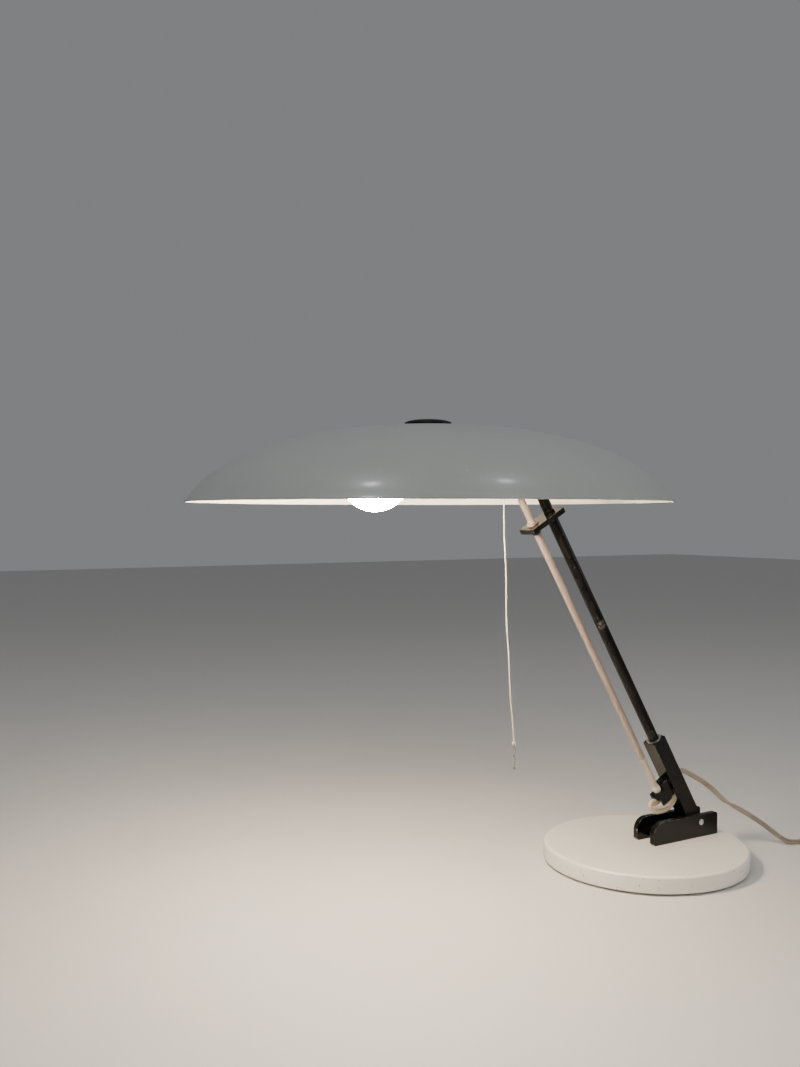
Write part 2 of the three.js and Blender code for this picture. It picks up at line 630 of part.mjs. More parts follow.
// Pull switch: a small round body that hangs from the strip by its threaded neck.
const onSwitch = (geometry) => geometry.translate(SWITCH_X, 0, 0);
const switchTop = STRIP_FOOT - GAP;
const neckTop = stripTop + 5;
const switchBody = cut(
  turned([
    [0, SWITCH_FOOT],
    [6, SWITCH_FOOT],
    [9, SWITCH_FOOT + 3],
    [9, switchTop],
    [SWITCH_NECK, switchTop],
    [SWITCH_NECK, neckTop],
    [0, neckTop],
  ], 32),
  rod(2.2, SWITCH_FOOT - 1, SWITCH_FOOT + 13, 16),
);
add("pull_switch", onSwitch(switchBody), blackPlastic);
add("switch_nut", onSwitch(hexNut(12, SWITCH_NECK + GAP, stripTop + GAP, stripTop + 3.2)), steel);
const LEAD_HEIGHT = 383;
const holderLead = [
  [SWITCH_X - 9.7, 0, LEAD_HEIGHT],
  [SWITCH_X - 13, 0, LEAD_HEIGHT - 1],
  [SWITCH_X - 17, 0, BULB_AXIS + 2],
  [HOLDER_REAR + 11.3, 0, BULB_AXIS],
];
add("switch_lead", flexTube(holderLead, 1.6, 5), flexCover);

// Flex from the tube's open end round to the side of the switch.
const conduitMouth = onArm(CONDUIT_TOP + GAP, CONDUIT_OFFSET);
const UPPER_FLEX = [
  [conduitMouth.x, 0, conduitMouth.z],
  [-157.4, 1, 366],
  [-159.8, 5, 373],
  [-162.4, 11, 379],
  [-166.4, 15.8, 382.4],
  [-171, 16.6, LEAD_HEIGHT],
  [-173.6, 13.6, LEAD_HEIGHT],
  [SWITCH_X, 9.8, LEAD_HEIGHT],
];
add("upper_flex", flexTube(UPPER_FLEX, 1.9, 18), flexCover);

// Pull: an eyelet that slides in the switch, the cord tied to it, and the knot at the cord's end.
const EYELET_FOOT = SWITCH_FOOT - 6;
const eyelet = turned([
  [0, EYELET_FOOT],
  [2.2, EYELET_FOOT],
  [2.4, EYELET_FOOT + 2.5],
  [1.3, EYELET_FOOT + 4],
  [1.3, SWITCH_FOOT + 11],
  [0, SWITCH_FOOT + 11],
], 16);
add("pull_eyelet", onSwitch(eyelet), brass);
const CORD_END = [-162, 0, 137.2];
const PULL_CORD = [
  [SWITCH_X, 0, EYELET_FOOT - GAP],
  [-173.9, 0, 355],
  [-173, 0.3, 325],
  [-171.4, -0.2, 290],
  [-170.6, 0.2, 250],
  [-168.2, -0.2, 215],
  [-166, 0.2, 180],
  [-163.4, 0, 152],
  CORD_END,
];
const PULL_RADIUS = 0.8;
add("pull_cord", flexTube(PULL_CORD, PULL_RADIUS, 20), cordWhite);
const knot = turned([
  [0, -26.2],
  [1.2, -26],
  [1.6, -24.4],
  [0.7, -22.6],
  [0.7, -16],
  [1.7, -12.5],
  [1.9, -8],
  [0.8, -4.6],
  [1.9, -3],
  [1.9, -1.4],
  [0.8, -0.3],
  [0, -0.3],
], 12);
add("pull_knot", knot.translate(...CORD_END), cordWhite);

// Mains lead: from the block's window down to the table, then a coil, a short tail and the plug.
const LEAD_RADIUS = FLEX_WIDTH / 2;
const LEAD_RUN = [
  [42.7, -1.1, 83.1],
  [45.4, -1.6, 85],
  [50, -2.6, 84.5],
  [57.3, -4.7, 80.6],
  [64.8, -7.1, 76],
  [72.3, -9.5, 71],
  [79.8, -11.9, 64.9],
  [86.3, -13.9, 58.9],
  [92, -15.7, 53.2],
  [98.6, -17.8, 48.2],
  [107, -20.5, 43.4],
  [117.9, -24, 36.9],
  [128.9, -27.5, 29.5],
  [139.9, -31, 21.3],
  [149.9, -34.2, 13.3],
  [157.8, -36.7, 7.3],
  [164.5, -38.8, 3.8],
  [172, -41.1, 2.8],
  [181, -43.9, 2.7],
  [191, -47.1, 2.7],
  [200.8, -50.2, 2.7],
];
const coilSpace = ring(COIL_OUTER + GAP, COIL_INNER - 10, -1, COIL_HEIGHT + 1, 72);
const coilRoom = coilSpace.translate(COIL_CENTRE.x, COIL_CENTRE.y, 0);
add("lead_run", cut(flexTube(LEAD_RUN, LEAD_RADIUS, 44), coilRoom), flexCover);
const coil = ring(COIL_OUTER, COIL_INNER, 0, COIL_HEIGHT, 48);
add("lead_coil", coil.translate(COIL_CENTRE.x, COIL_CENTRE.y, 0), flexCover);

const PLUG_HEIGHT = 6.9; // middle of the plug above the table
const PLUG_X = COIL_CENTRE.x + 37.6;
const BOOT_REAR = COIL_CENTRE.y - 44;
const LEAD_TAIL = [
  [COIL_CENTRE.x + 34.85, COIL_CENTRE.y, 8.1],
  [COIL_CENTRE.x + 35.4, COIL_CENTRE.y - 10, 8],
  [COIL_CENTRE.x + 36.4, COIL_CENTRE.y - 21, 7.6],
  [COIL_CENTRE.x + 37.3, COIL_CENTRE.y - 32, 7.1],
  [PLUG_X, BOOT_REAR + GAP, PLUG_HEIGHT],
];
add("lead_tail", cut(flexTube(LEAD_TAIL, LEAD_RADIUS, 5), coilRoom), flexCover);

// Plug: a flat two-pin plug, 18.6 mm between its pins, moulded in one with its tapered boot.
const BOOT_LENGTH = 27;
const PLUG_LENGTH = 35;
const PLUG_HALF_WIDTH = 17.2;
const PLUG_HALF_HEIGHT = 6.85;
const PIN_SPACING = 18.6;
const PIN_LENGTH = 19;
const towardsPins = (geometry, y) => geometry.rotateX(Math.PI / 2).translate(PLUG_X, y, PLUG_HEIGHT);
const boot = turned([[0, 0], [3, 0], [5.4, BOOT_LENGTH], [0, BOOT_LENGTH]], 16);
const plugRear = BOOT_REAR - BOOT_LENGTH + 1;
const plugFront = plugRear - PLUG_LENGTH;
const outline = new THREE.Shape();
outline.moveTo(-8, 0);
outline.lineTo(8, 0);
outline.quadraticCurveTo(PLUG_HALF_WIDTH, 3, PLUG_HALF_WIDTH, 16);
outline.lineTo(PLUG_HALF_WIDTH, PLUG_LENGTH);
outline.lineTo(-PLUG_HALF_WIDTH, PLUG_LENGTH);
outline.lineTo(-PLUG_HALF_WIDTH, 16);
outline.quadraticCurveTo(-PLUG_HALF_WIDTH, 3, -8, 0);
const CHAMFER = 1.6;
const plugSettings = {
  depth: 2 * (PLUG_HALF_HEIGHT - CHAMFER),
  bevelThickness: CHAMFER,
  bevelSize: CHAMFER,
  bevelOffset: -CHAMFER,
  bevelSegments: 1,
  curveSegments: 6,
};
const plugBody = new THREE.ExtrudeGeometry(outline, plugSettings);
plugBody.translate(0, 0, CHAMFER - PLUG_HALF_HEIGHT).rotateX(Math.PI);
plugBody.translate(PLUG_X, plugRear, PLUG_HEIGHT);
const plugPins = [-1, 1].map((side) => (side * PIN_SPACING) / 2);
const PIN_SOCKET = 3;
const sockets = plugPins.map((x) =>
  alongY(rod(2.3, plugFront - 1, plugFront + PIN_SOCKET, 16)).translate(PLUG_X + x, 0, PLUG_HEIGHT),
);
const moulding = join(plugBody, towardsPins(boot, BOOT_REAR));
add("plug_body", cut(moulding, ...sockets), creamPlastic);
plugPins.forEach((x, i) => {
  const pin = turned([
    [0, plugFront - PIN_LENGTH],
    [1.2, plugFront - PIN_LENGTH + 0.2],
    [2, plugFront - PIN_LENGTH + 1.6],
    [2, plugFront + PIN_SOCKET - GAP],
    [0, plugFront + PIN_SOCKET - GAP],
  ], 16);
  add("plug_pin_" + (i + 1), alongY(pin).translate(PLUG_X + x, 0, PLUG_HEIGHT), steel);
});

export default lamp;
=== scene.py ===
"""Single-arm desk lamp with a round base, a friction arm and a wide spun shade.

Metres, +Z up. The CAD frame gives every place; this script adds the finishes, the flex and the
pieces whose surface needs more than the CAD holds.
"""
import math

import bmesh
import bpy
import numpy as np
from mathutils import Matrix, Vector


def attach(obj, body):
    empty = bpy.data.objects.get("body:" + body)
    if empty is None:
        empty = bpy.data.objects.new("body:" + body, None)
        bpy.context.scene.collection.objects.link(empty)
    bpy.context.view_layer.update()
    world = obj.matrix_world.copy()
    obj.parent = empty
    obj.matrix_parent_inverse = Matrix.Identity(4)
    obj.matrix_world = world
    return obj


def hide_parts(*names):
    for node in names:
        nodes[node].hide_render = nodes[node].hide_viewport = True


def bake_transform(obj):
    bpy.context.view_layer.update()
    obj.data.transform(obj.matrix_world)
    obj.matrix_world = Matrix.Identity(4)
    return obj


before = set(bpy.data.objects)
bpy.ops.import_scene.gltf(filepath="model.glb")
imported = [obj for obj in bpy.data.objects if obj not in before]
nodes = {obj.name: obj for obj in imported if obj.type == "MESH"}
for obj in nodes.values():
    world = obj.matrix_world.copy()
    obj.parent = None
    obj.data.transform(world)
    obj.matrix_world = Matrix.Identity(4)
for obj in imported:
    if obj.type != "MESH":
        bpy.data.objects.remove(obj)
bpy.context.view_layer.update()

# Camera. It stands level with the shade's rim, about a metre in front and to the left, so that
# the rim is seen nearly edge-on and the base's top as a flat ellipse.
CAMERA_PLACE = (-0.73767, -0.77587, 0.34523)
CAMERA_AZIMUTH = 30.355
CAMERA_PITCH = 1.016
LENS = 35.4
SENSOR_WIDTH = 36

camera_data = bpy.data.cameras.new("camera")
camera_data.lens = LENS
camera_data.sensor_width = SENSOR_WIDTH
camera_data.clip_start = 0.02
camera = bpy.data.objects.new("camera", camera_data)
camera.location = CAMERA_PLACE
camera.rotation_euler = (math.radians(90 - CAMERA_PITCH), 0, math.radians(-CAMERA_AZIMUTH))
bpy.context.collection.objects.link(camera)
bpy.context.scene.camera = camera


# Mains lead. A flat twin flex in cream PVC, two cores side by side, that comes out of the arm
# block's rear, falls to the table and is wound up beside the base. The flex is painted paler
# near the arm block and inside the shade, a painted stand-in for the bulb's light on it.
class Signal:
    """A socket of a finish; sums and products of signals add Math nodes."""

    def __init__(self, finish, socket):
        self.finish = finish
        self.socket = socket

    def math(self, operation, *values):
        return self.finish.node("ShaderNodeMath", {"operation": operation}, dict(enumerate(values)))

    def __add__(self, other):
        return self.math("ADD", self, other)

    def __sub__(self, other):
        return self.math("SUBTRACT", self, other)

    def __rsub__(self, other):
        return self.math("SUBTRACT", other, self)

    def __mul__(self, other):
        return self.math("MULTIPLY", self, other)

    __radd__ = __add__
    __rmul__ = __mul__


class Finish:
    """A material, built up from its Principled shader.

    color and roughness are its plain values, which what varies over the surface may replace.
    """

    def __init__(self, name, color, roughness, **constants):
        self.material = bpy.data.materials.new(name)
        self.material.use_nodes = True
        self.tree = self.material.node_tree
        self.shader = self.tree.nodes["Principled BSDF"]
        self.put("Base Color", color)
        self.put("Roughness", roughness)
        for key, value in constants.items():
            self.put(key.replace("_", " ").title().replace("Ior", "IOR"), value)

    def feed(self, socket, value):
        if isinstance(value, Signal):
            self.tree.links.new(value.socket, socket)
        elif socket.type == "RGBA":
            socket.default_value = (*value, 1) if len(value) == 3 else value
        else:
            socket.default_value = value

    def put(self, name, value):
        self.feed(self.shader.inputs[name], value)

    def node(self, kind, settings=None, inputs=None, output=0):
        made = self.tree.nodes.new(kind)
        for key, value in (settings or {}).items():
            setattr(made, key, value)
        for key, value in (inputs or {}).items():
            self.feed(made.inputs[key], value)
        return Signal(self, made.outputs[output])

    def place(self, stretch=(1, 1, 1)):
        spot = self.node("ShaderNodeTexCoord", output=3)
        return self.node("ShaderNodeVectorMath", {"operation": "MULTIPLY"}, {0: spot, 1: stretch})

    def grain(self, size, detail=3, stretch=(1, 1, 1), distortion=0):
        """Cloudy noise from 0 to 1, whose lumps are about size metres across."""
        inputs = {
            "Vector": self.place(stretch),
            "Scale": 1 / size,
            "Detail": detail,
            "Distortion": distortion,
        }
        return self.node("ShaderNodeTexNoise", inputs=inputs)

    def between(self, signal, low, high):
        """0 below low, 1 above high, smooth between them."""
        settings = {"interpolation_type": "SMOOTHSTEP"}
        return self.node("ShaderNodeMapRange", settings, {"Value": signal, 1: low, 2: high})

    def blend(self, factor, first, second):
        settings = {"data_type": "RGBA"}
        return self.node("ShaderNodeMix", settings, {0: factor, 6: first, 7: second}, 2)

    def bump(self, height, depth):
        """Normal for a relief of depth metres from bottom to top."""
        inputs = {"Height": height, "Distance": depth, "Strength": 1}
        return self.node("ShaderNodeBump", inputs=inputs)

    def edge(self, radius):
        """1 on sharp outer and inner edges, 0 on flat faces."""
        soft = self.node("ShaderNodeBevel", {"samples": 4}, {"Radius": radius})
        flat = self.node("ShaderNodeNewGeometry", output=1)
        settings = {"operation": "DOT_PRODUCT"}
        level = self.node("ShaderNodeVectorMath", settings, {0: soft, 1: flat}, 1)
        return self.between(1 - level, 0.004, 0.1)


def smooth_path(points, step):
    """Evenly spaced points of the centripetal Catmull-Rom curve through points."""
    given = np.array(points, float)
    ends = np.vstack([2 * given[0] - given[1], given, 2 * given[-1] - given[-2]])
    fine = []
    for p0, p1, p2, p3 in zip(ends, ends[1:], ends[2:], ends[3:]):
        t1 = np.linalg.norm(p1 - p0) ** 0.5
        t2 = t1 + np.linalg.norm(p2 - p1) ** 0.5
        t3 = t2 + np.linalg.norm(p3 - p2) ** 0.5
        for t in np.linspace(t1, t2, 24, endpoint=False):
            a1 = (t1 - t) / t1 * p0 + t / t1 * p1
            a2 = (t2 - t) / (t2 - t1) * p1 + (t - t1) / (t2 - t1) * p2
            a3 = (t3 - t) / (t3 - t2) * p2 + (t - t2) / (t3 - t2) * p3
            b1 = (t2 - t) / t2 * a1 + t / t2 * a2
            b2 = (t3 - t) / (t3 - t1) * a2 + (t - t1) / (t3 - t1) * a3
            fine.append((t2 - t) / (t2 - t1) * b1 + (t - t1) / (t2 - t1) * b2)
    return respace(np.array([*fine, given[-1]]), step)


def lengths_along(line):
    return np.concatenate([[0], np.cumsum(np.linalg.norm(np.diff(line, axis=0), axis=1))])


def respace(line, step):
    """The same line with points about a step apart."""
    passed = lengths_along(line)
    count = max(int(round(passed[-1] / step)), 2)
    even = np.linspace(0, passed[-1], count + 1)
    return np.column_stack([np.interp(even, passed, line[:, i]) for i in range(3)])


def unit(vectors):
    return vectors / np.linalg.norm(vectors, axis=-1, keepdims=True)


def smoothstep(value, low, high):
    t = np.clip((value - low) / (high - low), 0, 1)
    return t * t * (3 - 2 * t)


def sweep(line, section, across):
    """Vertices and faces of a section carried along a line, closed at both ends.

    across is the direction of the section's first axis at each point of the line.
    """
    ahead = unit(np.gradient(line, axis=0))
    across = unit(across - ahead * np.sum(ahead * across, axis=1, keepdims=True))
    up = np.cross(ahead, across)
    rings = line[:, None] + across[:, None] * section[:, 0:1] + up[:, None] * section[:, 1:2]
    sides = len(section)
    faces = []
    for i in range(len(line) - 1):
        for j in range(sides):
            k = (j + 1) % sides
            faces.append((i * sides + j, i * sides + k, (i + 1) * sides + k, (i + 1) * sides + j))
    faces.append(tuple(reversed(range(sides))))
    last = (len(line) - 1) * sides
    faces.append(tuple(range(last, last + sides)))
    return rings.reshape(-1, 3), faces


def make(name, parts, finishes, smooth=40):
    """One object from (vertices, faces) parts, the faces of part i in finish i."""
    vertices, faces, slots = [], [], []
    for i, (part, part_faces) in enumerate(parts):
        start = len(vertices)
        vertices += [tuple(v) for v in part]
        faces += [tuple(start + j for j in face) for face in part_faces]
        slots += [min(i, len(finishes) - 1)] * len(part_faces)
    mesh = bpy.data.meshes.new(name)
    mesh.from_pydata(vertices, [], faces)
    for finish in finishes:
        mesh.materials.append(finish.material)
    mesh.polygons.foreach_set("material_index", slots)
    mesh.shade_smooth()
    mesh.set_sharp_from_angle(angle=math.radians(smooth))
    thing = bpy.data.objects.new(name, mesh)
    bpy.context.collection.objects.link(thing)
    return thing


FLEX_WIDTH = 0.0052
CORE_RADIUS = 0.00133
CORE_OFFSET = FLEX_WIDTH / 2 - CORE_RADIUS
GROOVE_HALF = 0.0005
flex_section = []
for bearing in range(-120, 121, 40):
    a = math.radians(bearing)
    flex_section.append((CORE_OFFSET + CORE_RADIUS * math.cos(a), CORE_RADIUS * math.sin(a)))
flex_section.append((0, GROOVE_HALF))
flex_section += [(-x, -y) for x, y in flex_section]
flex_section = np.array(flex_section)

LEAD_RUN = [
    (0.0427, -0.0011, 0.0831),
    (0.0454, -0.0016, 0.085),
    (0.05, -0.0026, 0.0845),
    (0.0573, -0.0047, 0.0806),
    (0.0648, -0.0071, 0.076),
    (0.0723, -0.0095, 0.071),
    (0.0798, -0.0119, 0.0649),
    (0.0863, -0.0139, 0.0589),
    (0.092, -0.0157, 0.0532),
    (0.0986, -0.0178, 0.0482),
    (0.107, -0.0205, 0.0434),
    (0.1179, -0.024, 0.0369),
    (0.1289, -0.0275, 0.0295),
    (0.1399, -0.031, 0.0213),
    (0.1499, -0.0342, 0.0133),
    (0.1578, -0.0367, 0.0073),
    (0.1645, -0.0388, 0.0038),
    (0.172, -0.0411, 0.0028),
    (0.181, -0.0439, 0.0027),
    (0.191, -0.0471, 0.0027),
    (0.2008, -0.0502, 0.0027),
]
COIL_CENTRE = (0.1905, -0.0835)
COIL_JOIN = math.radians(72.8)
COLUMNS = [0.03485, 0.03195, 0.02905, 0.02615]
LAYERS = [0.0027, 0.00805]
# The coil's lower layer is wound from the outside in, and its upper one from the inside out.
TURNS = 2 * len(COLUMNS) + COIL_JOIN / (2 * math.pi)
STEPS_PER_TURN = 72
SHIFT = 0.16  # of a turn, in which the flex moves on to the next column or layer
wound = np.linspace(0, TURNS, int(TURNS * STEPS_PER_TURN))[1:]
radius = np.full(len(wound), COLUMNS[0])
height = np.full(len(wound), LAYERS[0])
for turn in range(1, 2 * len(COLUMNS)):
    moved = smoothstep(wound, turn - SHIFT, turn)
    if turn < len(COLUMNS):
        radius += moved * (COLUMNS[turn] - COLUMNS[turn - 1])
    elif turn == len(COLUMNS):
        height += moved * (LAYERS[1] - LAYERS[0])
    else:
        radius += moved * (COLUMNS[2 * len(COLUMNS) - turn - 1] - COLUMNS[2 * len(COLUMNS) - turn])
angle = COIL_JOIN - 2 * math.pi * wound
coil = np.column_stack(
    [COIL_CENTRE[0] + radius * np.cos(angle), COIL_CENTRE[1] + radius * np.sin(angle), height]
)
PLUG_X = COIL_CENTRE[0] + 0.0376
PLUG_HEIGHT = 0.0069
BOOT_REAR = COIL_CENTRE[1] - 0.044
LEAD_TAIL = [
    (COIL_CENTRE[0] + COLUMNS[0], COIL_CENTRE[1], LAYERS[1]),
    (COIL_CENTRE[0] + 0.0354, COIL_CENTRE[1] - 0.01, 0.008),
    (COIL_CENTRE[0] + 0.0364, COIL_CENTRE[1] - 0.021, 0.0076),
    (COIL_CENTRE[0] + 0.0373, COIL_CENTRE[1] - 0.032, 0.0071),
    (PLUG_X, BOOT_REAR - 0.003, PLUG_HEIGHT),
]
run = smooth_path(LEAD_RUN, 0.002)
tail = smooth_path(LEAD_TAIL, 0.002)
LEAD_STEP = 0.0024
lead_line = respace(np.vstack([run, coil, tail[1:]]), LEAD_STEP)
along = lengths_along(lead_line)
TWIST_START = 0.055  # from the block, where the falling stretch begins to turn over once
TWIST_END = 0.089
LAID_FLAT_START = 0.036  # before the plug, where the flex begins to turn flat for it
LAID_FLAT_END = 0.006
turn_over = math.pi * smoothstep(along, TWIST_START, TWIST_END)
laid_flat = smoothstep(along, along[-1] - LAID_FLAT_START, along[-1] - LAID_FLAT_END)
turn_over += math.pi / 2 * laid_flat
ahead = unit(np.gradient(lead_line, axis=0))
upright = unit(np.array([0, 0, 1]) - ahead * ahead[:, 2:3])
sideways = np.cross(ahead, upright)
across = upright * np.cos(turn_over)[:, None] + sideways * np.sin(turn_over)[:, None]

flex_cover = Finish("flex_cream_pvc", (0.32, 0.27, 0.215), 0.45, specular_ior_level=0.35)
handled = flex_cover.between(flex_cover.grain(0.02, 4), 0.42, 0.7)
specks = flex_cover.between(flex_cover.grain(0.0011, 2), 0.62, 0.74)
# Painted light: the loop at the arm's foot and the flex inside the shade are painted paler, as if lit by
# the bulb.
spot_x = flex_cover.node("ShaderNodeSeparateXYZ", inputs={0: flex_cover.place()})
away_from_painted_bulb_light = flex_cover.between(spot_x, 0.04, 0.056)
cover = flex_cover.blend(handled, (0.35, 0.295, 0.225), (0.25, 0.205, 0.16))
cover = flex_cover.blend(away_from_painted_bulb_light, (0.47, 0.4, 0.29), cover)
flex_cover.put("Base Color", flex_cover.blend(specks * 0.45, cover, (0.28, 0.22, 0.16)))
flex_cover.put("Roughness", 0.4 + 0.2 * handled + 0.1 * specks)
flex_cover.put("Normal", flex_cover.bump(flex_cover.grain(0.0014, 3), 0.00006))

lead = make("lead", [sweep(lead_line, flex_section, across)], [flex_cover])
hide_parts("lead_run", "lead_coil", "lead_tail")
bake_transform(lead)


# Pull cord. A thin twisted cotton cord, tied to the switch's eyelet, that ends in a knot, an
# eye of thinner strand and a tail dipped in wax. It hangs with a slight wave, is painted darker
# on its lower part as painted shade out of the bulb's light, and is soiled below the knot.
PULL_RADIUS = 0.0008
PLY_PITCH = 0.0042
PLY_SHARE = 0.56  # of the cord's radius, in one ply's radius
PLY_OFFSET = 0.8  # of a ply's radius, from the cord's middle to the ply's
PULL_ROUTE = [
    (-0.174, 0, 0.3657),
    (-0.1739, 0, 0.355),
    (-0.173, 0.0003, 0.325),
    (-0.1714, -0.0002, 0.29),
    (-0.1706, 0.0002, 0.25),
    (-0.1682, -0.0002, 0.215),
    (-0.166, 0.0002, 0.18),
    (-0.1634, 0, 0.152),
    (-0.162, 0, 0.1372),
]


def twisted(line, radius):
    """A two-ply cord along a line."""
    spin = 2 * math.pi * lengths_along(line) / PLY_PITCH
    side = np.array([0, 1, 0.001])
    ahead = unit(np.gradient(line, axis=0))
    first = unit(side - ahead * (ahead @ side)[:, None])
    second = np.cross(ahead, first)
    spun = first * np.cos(spin)[:, None] + second * np.sin(spin)[:, None]
    ply = radius * PLY_SHARE
    offset = ply * PLY_OFFSET
    section = []
    for x, start in ((offset, -120), (-offset, 60)):
        for step in range(5):
            a = math.radians(start + 60 * step)
            section.append((x + ply * math.cos(a), ply * math.sin(a)))
    return sweep(line, np.array(section), spun)


def turned(profile, segments, centre=(0, 0, 0)):
    """Vertices and faces of (radius, height) pairs turned about the vertical, foot first."""
    vertices, faces, rings = [], [], []
    for r, z in profile:
        if r < 1e-7:
            rings.append([len(vertices)] * segments)
            vertices.append((centre[0], centre[1], centre[2] + z))
            continue
        rings.append(list(range(len(vertices), len(vertices) + segments)))
        for i in range(segments):
            a = 2 * math.pi * i / segments
            vertices.append((centre[0] + r * math.cos(a), centre[1] + r * math.sin(a), centre[2] + z))
    for low, high in zip(rings, rings[1:]):
        for i in range(segments):
            k = (i + 1) % segments
            face = []
            for index in (low[i], low[k], high[k], high[i]):
                if index not in face:
                    face.append(index)
            if len(face) > 2:
                faces.append(tuple(face))
    return vertices, faces


cotton = Finish("cotton_cord", (0.86, 0.84, 0.79), 0.85, sheen_weight=0.3)
fuzz = cotton.grain(0.0004, 2)
spot_z = cotton.node("ShaderNodeSeparateXYZ", inputs={0: cotton.place()}, output=2)
# Painted shade: below about 0.26 m the cord is painted darker, standing in for the fall of the bulb's
# light.
PAINTED_SHADE_BELOW = 0.26
SOILED_BELOW = 0.1338
painted_shade = cotton.between(PAINTED_SHADE_BELOW - spot_z, 0, 0.1)
soiled = cotton.between(SOILED_BELOW - spot_z, 0, 0.001)
clean = cotton.blend(fuzz, (0.9, 0.88, 0.83), (0.7, 0.67, 0.6))
cord_color = cotton.blend(painted_shade * 0.5, clean, (0.42, 0.37, 0.31))
cotton.put("Base Color", cotton.blend(soiled * 0.8, cord_color, (0.12, 0.095, 0.08)))
cotton.put("Normal", cotton.bump(fuzz, 0.0001))

pull_line = smooth_path(PULL_ROUTE, 0.0007)
pull_cord = make("pull_cord_twisted", [twisted(pull_line, PULL_RADIUS)], [cotton], 60)

KNOT_MIDDLE = np.array([-0.162, 0, 0.1350])
EYE_LINE = [
    (0.0002, 0, -0.0015),
    (0.0016, 0.0003, -0.004),
    (0.0019, 0.0005, -0.0075),
    (0.0011, 0.0004, -0.0105),
    (-0.0003, 0, -0.0122),
    (-0.0012, -0.0005, -0.0098),
    (-0.0014, -0.0006, -0.0065),
    (-0.0009, -0.0004, -0.0035),
    (-0.0002, 0, -0.0012),
]
TAIL_LINE = [
    (0.0004, 0.0007, -0.0112),
    (0.0013, 0.0005, -0.0135),
    (0.0012, 0.0002, -0.0165),
    (0.0006, 0, -0.0195),
    (0.0004, 0, -0.0225),
]
KNOT_SIZE = 0.00052
round_knot = np.linspace(0, 2 * math.pi, 73)
knot = np.column_stack(
    [
        KNOT_SIZE * (np.sin(round_knot) + 2 * np.sin(2 * round_knot)),
        KNOT_SIZE * 1.6 * np.sin(3 * round_knot),
        KNOT_SIZE * 1.2 * (np.cos(round_knot) - 2 * np.cos(2 * round_knot)),
    ]
)
EYE_RADIUS = 0.0005
knot_parts = [twisted(KNOT_MIDDLE + knot, PULL_RADIUS)]
for route, strand_radius in ((EYE_LINE, EYE_RADIUS), (TAIL_LINE, PULL_RADIUS)):
    knot_parts.append(twisted(KNOT_MIDDLE + smooth_path(route, 0.0005), strand_radius))

wax = Finish("cord_end_wax", (0.09, 0.07, 0.055), 0.55)
wax.put("Normal", wax.bump(wax.grain(0.0006, 2), 0.0001))
NUB_RADIUS = 0.0011
NUB_FOOT = (KNOT_MIDDLE[0] + 0.0004, 0, KNOT_MIDDLE[2] - 0.0241)
NUB_STEP = 0.0005
nub_profile = [(NUB_RADIUS * share, NUB_STEP * i) for i, share in enumerate((0.4, 0.85, 1, 1, 0.95, 0.6))]
nub_profile = [(0, 0), *nub_profile, (0, nub_profile[-1][1])]
nub = turned(nub_profile, 10, NUB_FOOT)
pull_knot = make("pull_cord_end", [*knot_parts, nub], [cotton, cotton, cotton, wax], 60)
for piece, node in ((pull_cord, "pull_cord"), (pull_knot, "pull_knot")):
    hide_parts(node)
    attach(piece, "pull")

# Flex between its housings. The same flat flex goes through the long tube: it comes out of the
# lug at the foot, makes a tight loop and goes into the arm block's window. At the head a lighter
# one runs from the tube round to the side of the pull switch, and a short lead feeds the
# lampholder.
LOOP = [
    (0.0193, 0, 0.0634),
    (0.0209, 0.0002, 0.0604),
    (0.0194, 0.0002, 0.0579),
    (0.016, -0.0002, 0.0568),
    (0.0116, -0.0008, 0.057),
    (0.0076, -0.0016, 0.0562),
    (0.0057, -0.0026, 0.0536),
    (0.0076, -0.0035, 0.051),
    (0.012, -0.0039, 0.0496),
    (0.0178, -0.0039, 0.0493),
    (0.025, -0.0037, 0.0503),
    (0.0314, -0.0033, 0.0532),
    (0.0362, -0.0028, 0.058),
    (0.0388, -0.0022, 0.0643),
    (0.0395, -0.0018, 0.071),
    (0.04, -0.0014, 0.0775),
    (0.0427, -0.0011, 0.0831),
]
loop_line = smooth_path(LOOP, 0.0012)
loop_along = lengths_along(loop_line)
loop_ahead = unit(np.gradient(loop_line, axis=0))
inwards = np.cross(loop_ahead, np.array([0, 1, 0]))
SPLAY = 0.5  # share by which the two cores spread where the flex is bent
bent = smoothstep(loop_along, 0.006, 0.016)
straight_again = smoothstep(loop_along, loop_along[-1] - 0.03, loop_along[-1] - 0.016)
splay = bent - straight_again
loop_vertices, loop_faces = sweep(loop_line, flex_section, inwards)
loop_rings = loop_vertices.reshape(len(loop_line), len(flex_section), 3)
loop_rings += (loop_rings - loop_line[:, None]) * (SPLAY * splay)[:, None, None]
loop = make("flex_loop_flat", [(loop_vertices, loop_faces)], [flex_cover])
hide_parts("flex_loop")
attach(loop, "arm")

UPPER_FLEX = [
    (-0.1544, 0, 0.3599),
    (-0.1574, 0.001, 0.366),
    (-0.1598, 0.005, 0.373),
    (-0.1624, 0.011, 0.379),
    (-0.1664, 0.0158, 0.3824),
    (-0.171, 0.0166, 0.383),
    (-0.1736, 0.0136, 0.383),
    (-0.174, 0.0088, 0.383),
]
upper_line = smooth_path(UPPER_FLEX, 0.0015)
upper_across = np.tile([0.0, 0, 1], (len(upper_line), 1))
upper_across[:, 1] = 1 - smoothstep(lengths_along(upper_line), 0.004, 0.02)
UPPER_SHARE = 0.82  # of the mains flex's size
upper_part = sweep(upper_line, flex_section * UPPER_SHARE, upper_across)
upper = make("upper_flex_flat", [upper_part], [flex_cover])
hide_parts("upper_flex")
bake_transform(upper)

